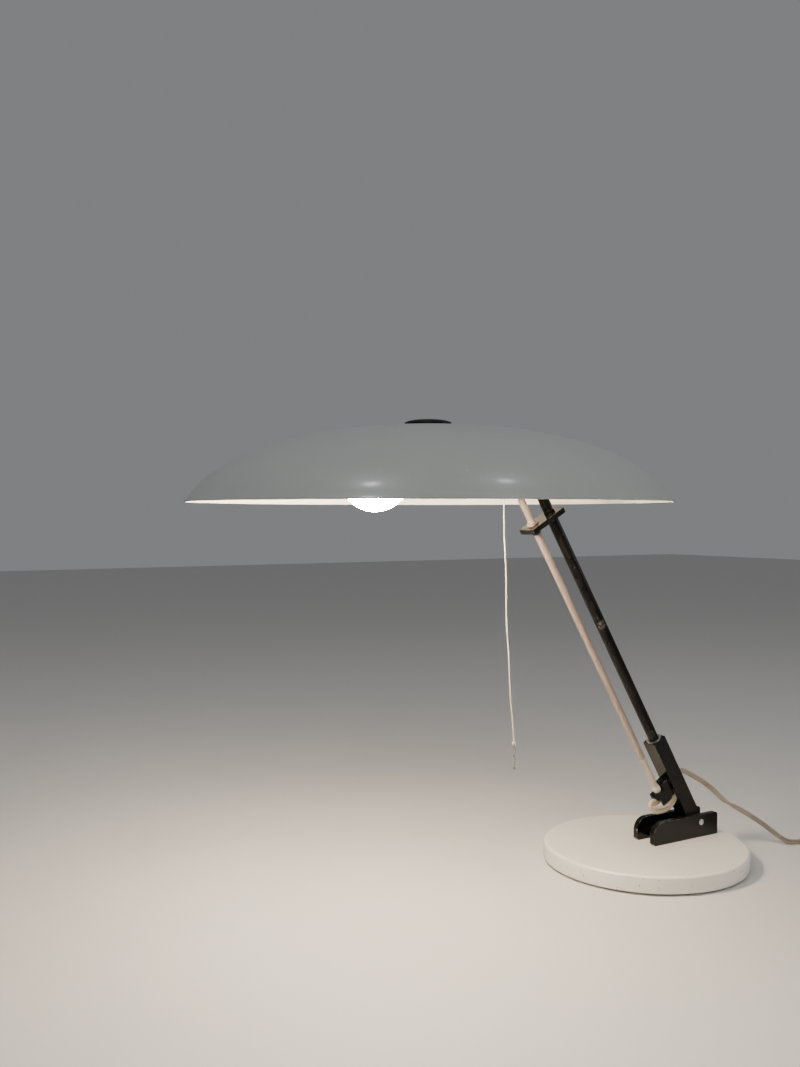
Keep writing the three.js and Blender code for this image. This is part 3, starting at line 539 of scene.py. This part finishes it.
SWITCH_LEAD = [
    (-0.1828, 0, 0.383),
    (-0.187, 0, 0.382),
    (-0.191, 0, 0.3797),
    (-0.1947, 0, 0.3777),
    (-0.198, 0, 0.3777),
]
SWITCH_LEAD_SHARE = 0.6
switch_line = smooth_path(SWITCH_LEAD, 0.0012)
switch_across = np.tile([0.0, 1, 0], (len(switch_line), 1))
switch_part = sweep(switch_line, flex_section * SWITCH_LEAD_SHARE, switch_across)
switch_lead = make("switch_lead_flat", [switch_part], [flex_cover])
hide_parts("switch_lead")
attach(switch_lead, "shade_head")


# Base. A heavy cast disc in thick cream-white stove lacquer with a soft edge, on a black rubber
# pad set in from its edge. The lacquer has a few chips and grey rubs along the rim.
def arc(centre, radius, start, end, steps):
    """(radius, height) pairs of a round corner, from start to end in degrees."""
    bearings = [math.radians(start + (end - start) * i / steps) for i in range(steps + 1)]
    return [(centre[0] + radius * math.cos(a), centre[1] + radius * math.sin(a)) for a in bearings]


BASE_RADIUS = 0.1
BASE_FOOT = 0.002
BASE_TOP = 0.018
EDGE = 0.0026
base_profile = [(0, BASE_FOOT)]
base_profile += arc((BASE_RADIUS - 0.001, BASE_FOOT + 0.001), 0.001, -90, 0, 3)
base_profile += arc((BASE_RADIUS - EDGE, BASE_TOP - EDGE), EDGE, 0, 90, 8)
base_profile += [(0.096, BASE_TOP), (0.06, BASE_TOP), (0, BASE_TOP)]

cream = Finish("cream_stove_lacquer", (0.86, 0.82, 0.74), 0.3, coat_roughness=0.12)
cloud = cream.grain(0.05, 4)
peel = cream.grain(0.0035, 2)
pits = cream.between(cream.grain(0.0016, 2), 0.7, 0.76)
spot_x = cream.node("ShaderNodeSeparateXYZ", inputs={0: cream.place()}, output=0)
spot_y = cream.node("ShaderNodeSeparateXYZ", inputs={0: cream.place()}, output=1)
squared = spot_x * spot_x + spot_y * spot_y
from_axis = squared.math("SQRT", squared)
near_rim = cream.between(from_axis, 0.0955, 0.0995)
rubbed = near_rim * cream.between(cream.grain(0.006, 4), 0.63, 0.7)
chips = near_rim * cream.between(cream.grain(0.0032, 3), 0.7, 0.72)
coat = cream.blend(cloud, (0.87, 0.83, 0.75), (0.82, 0.77, 0.68))
coat = cream.blend(pits * 0.35, coat, (0.5, 0.44, 0.36))
coat = cream.blend(rubbed * 0.4, coat, (0.6, 0.56, 0.5))
cream.put("Base Color", cream.blend(chips, coat, (0.12, 0.1, 0.09)))
cream.put("Roughness", 0.24 + 0.14 * cloud + 0.2 * rubbed + 0.3 * chips)
cream.put("Coat Weight", 0.35 - 0.3 * rubbed)
cream.put("Normal", cream.bump(peel - 2 * chips, 0.00005))
base_disc = make("base_disc_lacquered", [turned(base_profile, 144)], [cream])
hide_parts("base_disc")
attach(base_disc, "base")

PAD_RADIUS = 0.095
PAD_EDGE = 0.0004
pad_profile = [(0, 0), (PAD_RADIUS - PAD_EDGE, 0), (PAD_RADIUS, PAD_EDGE)]
pad_profile += [(PAD_RADIUS, BASE_FOOT), (0, BASE_FOOT)]
rubber = Finish("pad_rubber", (0.02, 0.02, 0.021), 0.85)
crumb = rubber.grain(0.0008, 3)
rubber.put("Base Color", rubber.blend(crumb, (0.014, 0.014, 0.015), (0.05, 0.048, 0.045)))
rubber.put("Normal", rubber.bump(crumb, 0.0002))
base_pad = make("base_pad_rubber", [turned(pad_profile, 96)], [rubber], 30)
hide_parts("base_pad")
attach(base_pad, "base")

# Bracket. A steel U with round-nosed cheeks, whose floor stops short of their front ends, in
# thick glossy black paint that has worn through to dull metal along the edges. Two pan-head
# screws through the floor hold it to the base.
black = Finish("black_paint", (0.006, 0.0056, 0.0052), 0.2, specular_ior_level=0.22)
brushed_on = black.grain(0.012, 4, stretch=(1, 1, 0.4), distortion=0.6)
dust = black.between(black.grain(0.0013, 2), 0.66, 0.78)
edge = black.edge(0.0009)
worn = edge * black.between(black.grain(0.004, 5), 0.5, 0.62)
paint = black.blend(brushed_on, (0.003, 0.0028, 0.0026), (0.007, 0.0064, 0.0058))
paint = black.blend(dust * 0.15, paint, (0.1, 0.09, 0.08))
black.put("Base Color", black.blend(worn * 0.8, paint, (0.23, 0.21, 0.19)))
black.put("Roughness", 0.06 + 0.12 * brushed_on + 0.15 * dust + 0.25 * worn)
black.put("Metallic", worn * 0.7)
black.put("Normal", black.bump(black.grain(0.003, 3) - 0.6 * worn, 0.00006))


def dress(finish, *names, bevel=0.0003, smooth=32):
    """Gives CAD nodes their finish, and rounds their sharp edges a little."""
    for name in names:
        node = nodes[name]
        node.data.materials.clear()
        node.data.materials.append(finish.material)
        node.data.shade_smooth()
        node.data.set_sharp_from_angle(angle=math.radians(smooth))
        if bevel:
            flat = node.modifiers.new("flat_faces", "DECIMATE")
            flat.decimate_type = "DISSOLVE"
            flat.angle_limit = math.radians(2)
            rounded = node.modifiers.new("rounded_edges", "BEVEL")
            rounded.limit_method = "ANGLE"
            rounded.angle_limit = math.radians(smooth)
            rounded.width = bevel
            rounded.segments = 2
            rounded.use_clamp_overlap = True
            rounded.harden_normals = True


dress(black, "bracket", bevel=0.0006)

steel = Finish("bright_steel", (0.62, 0.61, 0.59), 0.28, metallic=1)
scratches = steel.grain(0.0009, 3, stretch=(1, 1, 6))
tarnish = steel.between(steel.grain(0.004, 4), 0.5, 0.72)
steel.put("Base Color", steel.blend(tarnish * 0.6, (0.66, 0.65, 0.63), (0.3, 0.26, 0.21)))
steel.put("Roughness", 0.2 + 0.14 * scratches + 0.25 * tarnish)
steel.put("Normal", steel.bump(scratches, 0.00003))
dress(steel, "bracket_screw_1", "bracket_screw_2", bevel=0.0002)

# Pivot. A bright pin goes through both cheeks and the arm block, its ends spread into domes.
# A red fibre washer on each side of the block gives the friction that holds the arm.
dress(steel, "pivot_pin", bevel=0)
fibre = Finish("red_fibre", (0.12, 0.035, 0.022), 0.75)
fibres = fibre.grain(0.0007, 4)
fibre.put("Base Color", fibre.blend(fibres, (0.09, 0.025, 0.016), (0.2, 0.07, 0.045)))
fibre.put("Normal", fibre.bump(fibres, 0.0001))
dress(fibre, "pivot_washer_near", "pivot_washer_far", bevel=0)

# Arm. Square bar in the same black paint, bored for a round tube that a grub screw clamps under
# a bright collar. The tube is smoother, with small nicks and one patch rubbed through a little
# above its middle. A black plate near its top and a black knuckle at its end are clamped to it.
dress(black, "arm_block", bevel=0.0006)
dress(steel, "arm_collar", "arm_grub_screw", bevel=0.0002)
tube_paint = Finish("black_tube_paint", (0.004, 0.0037, 0.0035), 0.14, specular_ior_level=0.14)
smears = tube_paint.grain(0.01, 4, stretch=(1, 1, 0.25))
nicks = tube_paint.between(tube_paint.grain(0.0024, 3, stretch=(1, 1, 0.6)), 0.7, 0.73)
tube_color = tube_paint.blend(smears, (0.0025, 0.0024, 0.0022), (0.006, 0.0055, 0.005))
RUBBED_PLACE = (-0.0609, -0.0045, 0.2392)
RUBBED_REACH = 0.0055
distance = {"operation": "DISTANCE"}
from_rub = tube_paint.node("ShaderNodeVectorMath", distance, {0: tube_paint.place(), 1: RUBBED_PLACE}, 1)
streaks = tube_paint.between(tube_paint.grain(0.0016, 3, stretch=(1, 1, 0.5)), 0.46, 0.56)
rubbed_through = streaks * tube_paint.between(RUBBED_REACH - from_rub, 0, 0.003)
bare = nicks.math("MAXIMUM", nicks, rubbed_through)
tube_paint.put("Base Color", tube_paint.blend(bare, tube_color, (0.13, 0.12, 0.11)))
tube_paint.put("Roughness", 0.07 + 0.12 * smears + 0.2 * bare)
tube_paint.put("Normal", tube_paint.bump(tube_paint.grain(0.004, 2) - 2 * bare, 0.00004))
dress(tube_paint, "arm_tube", bevel=0)
dress(black, "guide_plate", "head_knuckle", bevel=0.0005)
dress(steel, "plate_grub_screw", "knuckle_grub_screw", bevel=0.0002)

# Flex tube. A thin-walled pinkish cream plastic tube beside the arm. A black bush holds it under
# the guide plate, a flange and a ferrule sit on top, and a narrower, paler sleeve goes on to the
# lug, with a white ferrule at its foot.
tube_cream = Finish("cream_tube_plastic", (0.36, 0.28, 0.245), 0.42, specular_ior_level=0.4)
aged = tube_cream.grain(0.018, 4, stretch=(1, 1, 0.4))
grime = tube_cream.between(tube_cream.grain(0.003, 4), 0.56, 0.74)
aged_color = tube_cream.blend(aged, (0.34, 0.265, 0.23), (0.24, 0.18, 0.15))
tube_cream.put("Base Color", tube_cream.blend(grime * 0.5, aged_color, (0.2, 0.155, 0.12)))
tube_cream.put("Roughness", 0.34 + 0.2 * aged + 0.15 * grime)
tube_cream.put("Normal", tube_cream.bump(tube_cream.grain(0.002, 3), 0.00005))
dress(tube_cream, "flex_conduit", "conduit_flange", "upper_ferrule", bevel=0)

pale_sleeve = Finish("cream_sleeve_plastic", (0.45, 0.38, 0.31), 0.42, specular_ior_level=0.4)
yellowed = pale_sleeve.grain(0.006, 4)
pale_sleeve.put("Base Color", pale_sleeve.blend(yellowed, (0.5, 0.43, 0.35), (0.34, 0.28, 0.215)))
pale_sleeve.put("Roughness", 0.34 + 0.2 * yellowed)
pale_sleeve.put("Normal", pale_sleeve.bump(pale_sleeve.grain(0.0015, 3), 0.00005))
dress(pale_sleeve, "lower_sleeve", bevel=0)

ferrule_white = Finish("white_ferrule_plastic", (0.6, 0.54, 0.45), 0.4)
ferrule_grain = ferrule_white.grain(0.0015, 3)
ferrule_white.put("Base Color", ferrule_white.blend(ferrule_grain, (0.64, 0.58, 0.49), (0.46, 0.39, 0.3)))
ferrule_white.put("Normal", ferrule_white.bump(ferrule_grain, 0.00005))
dress(ferrule_white, "lower_ferrule", bevel=0)

moulded = Finish("black_moulded", (0.008, 0.007, 0.0066), 0.4, specular_ior_level=0.2)
mottle = moulded.grain(0.002, 3)
moulded.put("Base Color", moulded.blend(mottle, (0.005, 0.0046, 0.0042), (0.013, 0.0115, 0.0105)))
moulded.put("Roughness", 0.32 + 0.2 * mottle)
moulded.put("Normal", moulded.bump(moulded.grain(0.0008, 2), 0.00003))
dress(moulded, "conduit_bush", bevel=0)

# Lug. A black-painted bar on the block's front that grips the sleeve's end, with a deep root and
# an apron on the near side that covers the flex as it comes out. Its two screws are black too.
dress(black, "flex_lug", bevel=0.0005)
dress(black, "lug_clamp_screw", "lug_end_screw", bevel=0.0002)

# Head. A zinc-plated strip with two ears hangs on the tilt bolt and carries the shade, the
# lampholder and the switch. A fluted black knob on the near side clamps the tilt.
plated = Finish("zinc_plate", (0.52, 0.52, 0.5), 0.36, metallic=1)
spangle = plated.grain(0.005, 4)
stain = plated.between(plated.grain(0.0022, 4), 0.58, 0.75)
plated.put("Base Color", plated.blend(stain * 0.6, (0.56, 0.56, 0.54), (0.3, 0.27, 0.22)))
plated.put("Roughness", 0.28 + 0.2 * spangle + 0.15 * stain)
plated.put("Normal", plated.bump(plated.grain(0.001, 3), 0.00004))
dress(plated, "carrier", "holder_bracket", bevel=0.0003)
dress(steel, "tilt_bolt", "tilt_washer", bevel=0.0002)
dress(moulded, "tilt_knob", bevel=0.0005)


# Shade. Spun aluminium with a turned edge, light grey satin lacquer outside and white enamel
# inside that has yellowed in places. A black cap screwed onto the centre stud clamps its crown
# against a washer and a spacer tube above the strip.
def bezier(p0, p1, p2, p3, steps):
    points = []
    for i in range(steps + 1):
        t = i / steps
        s = 1 - t
        weights = (s * s * s, 3 * s * s * t, 3 * s * t * t, t * t * t)
        points.append(tuple(sum(w * p[k] for w, p in zip(weights, (p0, p1, p2, p3))) for k in range(2)))
    return points


SHADE_CENTRE = (-0.255, 0, 0)
SHADE_RADIUS = 0.2084
SHADE_RIM = 0.3562
SHADE_HEIGHT = 0.066
SHEET = 0.0013
STUD_HOLE = 0.0051
crown = bezier(
    (0, SHADE_HEIGHT), (0.0895, SHADE_HEIGHT), (SHADE_RADIUS - 0.0314, 0.05), (SHADE_RADIUS, 0), 56
)
crown = np.array(crown)
slope = unit(np.gradient(crown, axis=0))
lining = crown + np.column_stack([slope[:, 1], -slope[:, 0]]) * SHEET
outer_profile = [(r, SHADE_RIM + z) for r, z in crown if r > STUD_HOLE]
inner_profile = [(r, SHADE_RIM + z) for r, z in lining if r > STUD_HOLE and z > 0.0004]
outer_profile.insert(0, (STUD_HOLE, SHADE_RIM + SHADE_HEIGHT))
inner_profile.insert(0, (STUD_HOLE, SHADE_RIM + SHADE_HEIGHT - SHEET))
RIM_BEAD = 0.0009
rim_middle = (SHADE_RADIUS - RIM_BEAD, SHADE_RIM + 0.0007)
rim_profile = arc(rim_middle, RIM_BEAD, 200, 360, 7)
outside = list(reversed(outer_profile[:-1]))
inside_part = turned(inner_profile + rim_profile[:3], 192, SHADE_CENTRE)
outside_part = turned(rim_profile[2:] + outside + [inner_profile[0]], 192, SHADE_CENTRE)

grey = Finish("grey_satin_lacquer", (0.33, 0.345, 0.33), 0.4, coat_roughness=0.14, specular_ior_level=0.3)
veil = grey.grain(0.07, 4)
orange_peel = grey.grain(0.0028, 2)
motes = grey.between(grey.grain(0.0013, 1), 0.71, 0.77)
grey_coat = grey.blend(veil, (0.375, 0.39, 0.372), (0.33, 0.345, 0.335))
grey.put("Base Color", grey.blend(motes * 0.5, grey_coat, (0.6, 0.6, 0.57)))
grey.put("Roughness", 0.3 + 0.12 * veil + 0.2 * motes)
grey.put("Coat Weight", 0.12 + 0.08 * veil)
grey.put("Normal", grey.bump(orange_peel + 0.5 * motes, 0.00006))

enamel = Finish("white_shade_enamel", (0.85, 0.84, 0.8), 0.4)
warmth = enamel.grain(0.06, 3)
enamel.put("Base Color", enamel.blend(warmth, (0.87, 0.86, 0.83), (0.83, 0.8, 0.72)))
enamel.put("Roughness", 0.34 + 0.16 * warmth)
enamel.put("Normal", enamel.bump(enamel.grain(0.003, 2), 0.00005))
shade = make("shade_spun", [inside_part, outside_part], [enamel, grey], 50)
weld = bmesh.new()
weld.from_mesh(shade.data)
bmesh.ops.remove_doubles(weld, verts=weld.verts, dist=1e-6)
bmesh.ops.recalc_face_normals(weld, faces=weld.faces)
weld.to_mesh(shade.data)
weld.free()
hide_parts("shade")
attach(shade, "shade_head")

CAP_RADIUS = 0.0205
CAP_FOOT = 0.4225
cap_profile = [(0, 0), (CAP_RADIUS - 0.001, 0)]
cap_profile += arc((CAP_RADIUS - 0.001, 0.001), 0.001, -90, 0, 4)
cap_profile += arc((CAP_RADIUS - 0.0012, 0.0021), 0.0012, 0, 50, 4)
cap_profile += [(0.0172, 0.0041), (0.0145, 0.0047), (0.011, 0.0051), (0.006, 0.0054), (0, 0.0055)]
cap = make("top_cap_domed", [turned(cap_profile, 72, (SHADE_CENTRE[0], 0, CAP_FOOT))], [moulded], 50)
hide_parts("top_cap")
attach(cap, "shade_head")
dress(steel, "centre_stud", "stud_nut", "stud_spacer", "crown_washer", bevel=0.0002)

# Lampholder. A black moulded screw-cap holder on a threaded nipple, with a porcelain insert and
# brass contacts, held to the strip by a plated angle bracket.
dress(moulded, "holder_shell", bevel=0.0003)
dress(steel, "holder_bracket_screw", "holder_nipple", "nipple_nut", bevel=0.0002)
brass = Finish("brass", (0.6, 0.43, 0.18), 0.32, metallic=1)
dull = brass.grain(0.003, 4)
brass.put("Base Color", brass.blend(dull, (0.64, 0.47, 0.2), (0.36, 0.24, 0.1)))
brass.put("Roughness", 0.24 + 0.25 * dull)
dress(brass, "screw_shell", "centre_contact", "bulb_tip", "pull_eyelet", bevel=0)
porcelain = Finish("porcelain", (0.8, 0.78, 0.72), 0.25)
glaze = porcelain.grain(0.004, 3)
porcelain.put("Base Color", porcelain.blend(glaze, (0.84, 0.82, 0.76), (0.72, 0.69, 0.61)))
porcelain.put("Normal", porcelain.bump(glaze, 0.00005))
dress(porcelain, "holder_insulator", bevel=0.0003)

# Bulb. A standard opal bulb, 60 mm across, on a plain steel screw cap. It lies on its side in
# the lampholder, and is switched on: its glass glows warm white.
dress(steel, "bulb_cap", bevel=0)
GLOW = 280
opal = Finish("opal_glass_lit", (0.9, 0.87, 0.8), 0.25, emission_strength=GLOW)
hot = opal.grain(0.03, 2)
opal.put("Base Color", opal.blend(hot, (0.93, 0.9, 0.84), (0.88, 0.84, 0.76)))
opal.put("Emission Color", opal.blend(hot, (1, 0.86, 0.68), (1, 0.8, 0.58)))
dress(opal, "bulb_glass", bevel=0)

# Pull switch. A round black moulded switch that hangs from the strip by its threaded neck, which
# a bright nut clamps above the strip. The brass eyelet comes out of its foot.
dress(moulded, "pull_switch", bevel=0.0004)
dress(steel, "switch_nut", bevel=0.0002)

# Plug. A flat two-pin plug in cream plastic, moulded in one with its tapered boot, with round
# steel pins. It lies on the table beside the coil.
plug_cream = Finish("cream_plug_plastic", (0.68, 0.61, 0.5), 0.4, specular_ior_level=0.5)
plug_grain = plug_cream.grain(0.0012, 3)
plug_grime = plug_cream.between(plug_cream.grain(0.008, 4), 0.5, 0.72)
plug_cream.put("Base Color", plug_cream.blend(plug_grime * 0.5, (0.7, 0.63, 0.52), (0.46, 0.38, 0.29)))
plug_cream.put("Roughness", 0.34 + 0.2 * plug_grime)
plug_cream.put("Normal", plug_cream.bump(plug_grain, 0.00006))
dress(plug_cream, "plug_body", bevel=0.0004)
dress(steel, "plug_pin_1", "plug_pin_2", bevel=0)

# Stage. A plain pale floor with nothing on it, under a dim even sky, two large soft lights, and
# two small ones overhead that give the two soft highlights near the shade's edge.
FLOOR_HALF = 6
FLOOR_DROP = 0.0001  # below the base's pad
floor_corners = [(-1, -1), (1, -1), (1, 1), (-1, 1)]
floor_vertices = [(x * FLOOR_HALF, y * FLOOR_HALF, -FLOOR_DROP) for x, y in floor_corners]
pale = Finish("pale_floor", (0.62, 0.61, 0.59), 0.6)
floor = make("floor", [(floor_vertices, [(0, 1, 2, 3)])], [pale])

world = bpy.data.worlds.new("studio")
world.use_nodes = True
world.node_tree.nodes["Background"].inputs["Color"].default_value = (0.72, 0.73, 0.75, 1)
world.node_tree.nodes["Background"].inputs["Strength"].default_value = 0.3
bpy.context.scene.world = world

LIT_PLACE = Vector((-0.1, 0, 0.22))
LIGHTS = [
    ("key", (-1.2, -1.4, 1.5), 1.2, 12),
    ("fill", (1.3, -1.0, 0.9), 1.4, 5),
    ("ceiling_left", (-0.8, -0.01, 1.9), 0.12, 3.5),
    ("ceiling_right", (0.19, -0.41, 1.87), 0.12, 2),
]
for name, place, size, power in LIGHTS:
    light_data = bpy.data.lights.new(name, "AREA")
    light_data.shape = "DISK"
    light_data.size = size
    light_data.energy = power
    light = bpy.data.objects.new(name, light_data)
    light.location = place
    aim = LIT_PLACE - light.location
    light.rotation_euler = aim.to_track_quat("-Z", "Y").to_euler()
    bpy.context.collection.objects.link(light)
